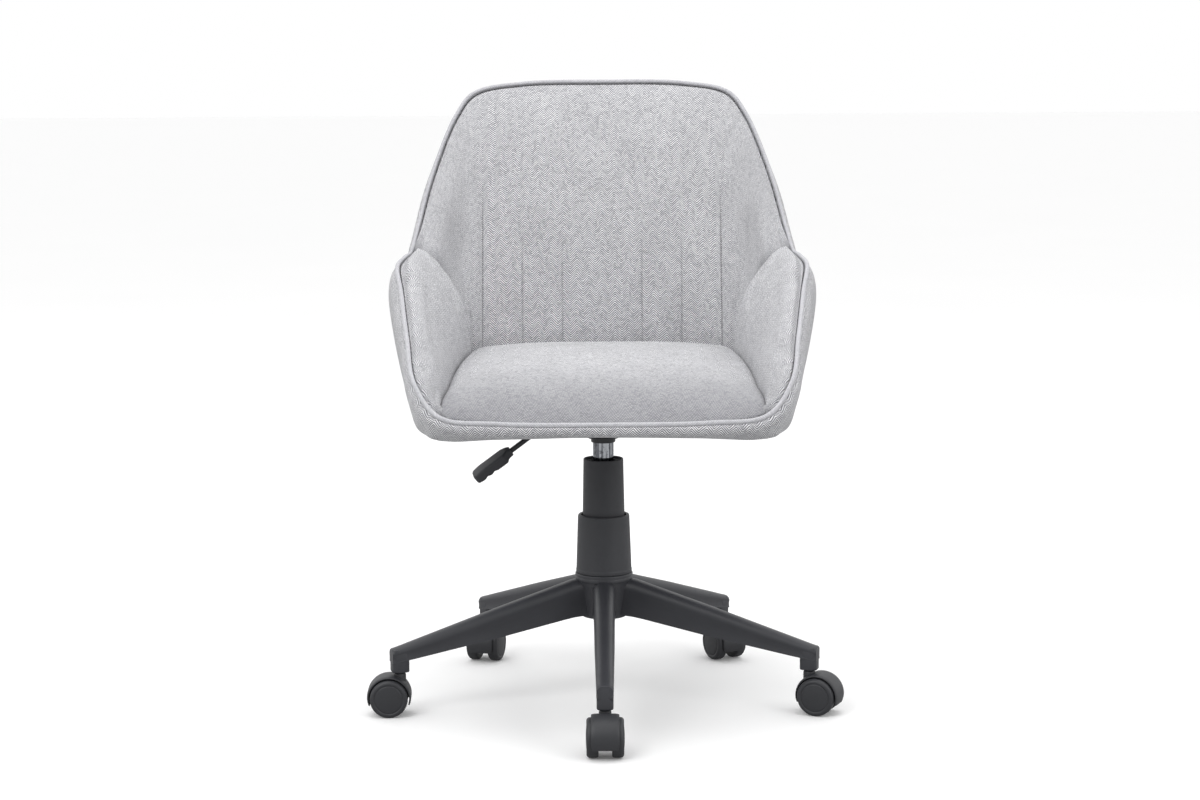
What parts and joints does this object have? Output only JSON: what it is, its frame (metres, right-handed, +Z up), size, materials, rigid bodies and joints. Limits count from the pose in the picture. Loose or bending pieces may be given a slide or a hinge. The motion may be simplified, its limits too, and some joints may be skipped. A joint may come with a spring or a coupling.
{
  "type": "swivel office chair",
  "caption": "Upholstered tub seat with low arms and piped rim on a gas lift with a side lever, a five-star base and twin-wheel castors.",
  "frame": {"origin": "on the floor, on the axis of the gas lift", "axes": "+Z up, the seat faces -Y, +X is the sitter's left"},
  "size_m": [0.6314, 0.6459, 0.8326],
  "materials": {
    "fabric": "light grey woven cloth",
    "black_paint": "satin black",
    "black_plastic": "fine-grained satin black",
    "white_plastic": "plain moulded",
    "bright_steel": "polished",
    "zinc_steel": "zinc plated",
    "black_rubber": "matte",
    "plywood": "unfinished plywood",
    "black_cloth": "thin non-woven cloth"
  },
  "bodies": {
    "base": {"star_base": "black_paint", "gas_lift_outer_tube": "black_paint", "gas_lift_guide_sleeve": "white_plastic", "bearing_lower_race": "zinc_steel", "column_cover_lower": "black_plastic", "castor_grip_ring_front": "zinc_steel", "castor_grip_ring_right": "zinc_steel", "castor_grip_ring_rear_right": "zinc_steel", "castor_grip_ring_rear_left": "zinc_steel", "castor_grip_ring_left": "zinc_steel"},
    "column_cover": {"column_cover_upper": "black_plastic"},
    "piston": {"gas_lift_piston_rod": "zinc_steel", "gas_lift_retaining_clip": "zinc_steel", "bearing_ball_cage": "white_plastic", "bearing_upper_race": "zinc_steel", "gas_lift_bumper": "black_rubber"},
    "seat": {"gas_lift_pressure_tube": "bright_steel", "taper_socket": "black_paint", "seat_plate": "black_paint", "lever_bush": "black_plastic", "seat_bolt_1": "zinc_steel", "seat_bolt_2": "zinc_steel", "seat_bolt_3": "zinc_steel", "seat_bolt_4": "zinc_steel", "seat_board": "plywood", "tub_shell": "fabric", "seat_cushion": "fabric", "back_pad": "fabric", "arm_pad_right": "fabric", "arm_pad_left": "fabric", "welt": "fabric", "dust_cover": "black_cloth"},
    "lever": {"lever_rod": "black_paint", "lever_grip": "black_plastic"},
    "valve": {"gas_lift_valve_pin": "zinc_steel"},
    "castor_front": {"castor_hood_front": "black_plastic", "castor_stem_front": "zinc_steel", "castor_axle_front": "zinc_steel"},
    "wheel_a_front": {"castor_wheel_a_front": "black_plastic"},
    "wheel_b_front": {"castor_wheel_b_front": "black_plastic"},
    "castor_right": {"castor_hood_right": "black_plastic", "castor_stem_right": "zinc_steel", "castor_axle_right": "zinc_steel"},
    "wheel_a_right": {"castor_wheel_a_right": "black_plastic"},
    "wheel_b_right": {"castor_wheel_b_right": "black_plastic"},
    "castor_rear_right": {"castor_hood_rear_right": "black_plastic", "castor_stem_rear_right": "zinc_steel", "castor_axle_rear_right": "zinc_steel"},
    "wheel_a_rear_right": {"castor_wheel_a_rear_right": "black_plastic"},
    "wheel_b_rear_right": {"castor_wheel_b_rear_right": "black_plastic"},
    "castor_rear_left": {"castor_hood_rear_left": "black_plastic", "castor_stem_rear_left": "zinc_steel", "castor_axle_rear_left": "zinc_steel"},
    "wheel_a_rear_left": {"castor_wheel_a_rear_left": "black_plastic"},
    "wheel_b_rear_left": {"castor_wheel_b_rear_left": "black_plastic"},
    "castor_left": {"castor_hood_left": "black_plastic", "castor_stem_left": "zinc_steel", "castor_axle_left": "zinc_steel"},
    "wheel_a_left": {"castor_wheel_a_left": "black_plastic"},
    "wheel_b_left": {"castor_wheel_b_left": "black_plastic"}
  },
  "joints": [
    {"name": "cover_slide", "type": "slide", "parent": "base", "child": "column_cover", "axis": [0, 0, 1], "range_m": [0, 0.02]},
    {"name": "seat_swivel", "type": "hinge", "parent": "base", "child": "piston", "pos_m": [0, 0, 0.12], "axis": [0, 0, 1], "continuous": true},
    {"name": "seat_lift", "type": "slide", "parent": "piston", "child": "seat", "axis": [0, 0, 1], "range_m": [0, 0.1]},
    {"name": "height_lever", "type": "hinge", "parent": "seat", "child": "lever", "pos_m": [-0.04625, 0, 0.374], "axis": [0, 1, 0], "range_deg": [0, 4], "stiffness_Nm_per_rad": 8},
    {"name": "valve_press", "type": "slide", "parent": "seat", "child": "valve", "axis": [0, 0, -1], "range_m": [0, 0.0033]},
    {"name": "castor_swivel_front", "type": "hinge", "parent": "base", "child": "castor_front", "pos_m": [0, -0.2845, 0.07], "axis": [0, 0, 1], "continuous": true},
    {"name": "wheel_a_spin_front", "type": "hinge", "parent": "castor_front", "child": "wheel_a_front", "pos_m": [0, -0.299, 0.025], "axis": [-1, 0, 0], "continuous": true},
    {"name": "wheel_b_spin_front", "type": "hinge", "parent": "castor_front", "child": "wheel_b_front", "pos_m": [0, -0.299, 0.025], "axis": [-1, 0, 0], "continuous": true},
    {"name": "castor_swivel_right", "type": "hinge", "parent": "base", "child": "castor_right", "pos_m": [0.27058, -0.08791, 0.07], "axis": [0, 0, 1], "continuous": true},
    {"name": "wheel_a_spin_right", "type": "hinge", "parent": "castor_right", "child": "wheel_a_right", "pos_m": [0.28392, -0.09358, 0.025], "axis": [-0.3907, -0.9205, 0], "continuous": true},
    {"name": "wheel_b_spin_right", "type": "hinge", "parent": "castor_right", "child": "wheel_b_right", "pos_m": [0.28392, -0.09358, 0.025], "axis": [-0.3907, -0.9205, 0], "continuous": true},
    {"name": "castor_swivel_rear_right", "type": "hinge", "parent": "base", "child": "castor_rear_right", "pos_m": [0.16723, 0.23017, 0.07], "axis": [0, 0, 1], "continuous": true},
    {"name": "wheel_a_spin_rear_right", "type": "hinge", "parent": "castor_rear_right", "child": "wheel_a_rear_right", "pos_m": [0.17403, 0.21736, 0.025], "axis": [-0.8829, -0.4695, 0], "continuous": true},
    {"name": "wheel_b_spin_rear_right", "type": "hinge", "parent": "castor_rear_right", "child": "wheel_b_rear_right", "pos_m": [0.17403, 0.21736, 0.025], "axis": [-0.8829, -0.4695, 0], "continuous": true},
    {"name": "castor_swivel_rear_left", "type": "hinge", "parent": "base", "child": "castor_rear_left", "pos_m": [-0.16723, 0.23017, 0.07], "axis": [0, 0, 1], "continuous": true},
    {"name": "wheel_a_spin_rear_left", "type": "hinge", "parent": "castor_rear_left", "child": "wheel_a_rear_left", "pos_m": [-0.17098, 0.21616, 0.025], "axis": [-0.9659, 0.2588, 0], "continuous": true},
    {"name": "wheel_b_spin_rear_left", "type": "hinge", "parent": "castor_rear_left", "child": "wheel_b_rear_left", "pos_m": [-0.17098, 0.21616, 0.025], "axis": [-0.9659, 0.2588, 0], "continuous": true},
    {"name": "castor_swivel_left", "type": "hinge", "parent": "base", "child": "castor_left", "pos_m": [-0.27058, -0.08791, 0.07], "axis": [0, 0, 1], "continuous": true},
    {"name": "wheel_a_spin_left", "type": "hinge", "parent": "castor_left", "child": "wheel_a_left", "pos_m": [-0.28507, -0.08842, 0.025], "axis": [-0.0349, 0.9994, 0], "continuous": true},
    {"name": "wheel_b_spin_left", "type": "hinge", "parent": "castor_left", "child": "wheel_b_left", "pos_m": [-0.28507, -0.08842, 0.025], "axis": [-0.0349, 0.9994, 0], "continuous": true}
  ],
  "couplings": [
    {"joint": "valve_press", "follows": "height_lever", "m_per_rad": 0.04625}
  ]
}
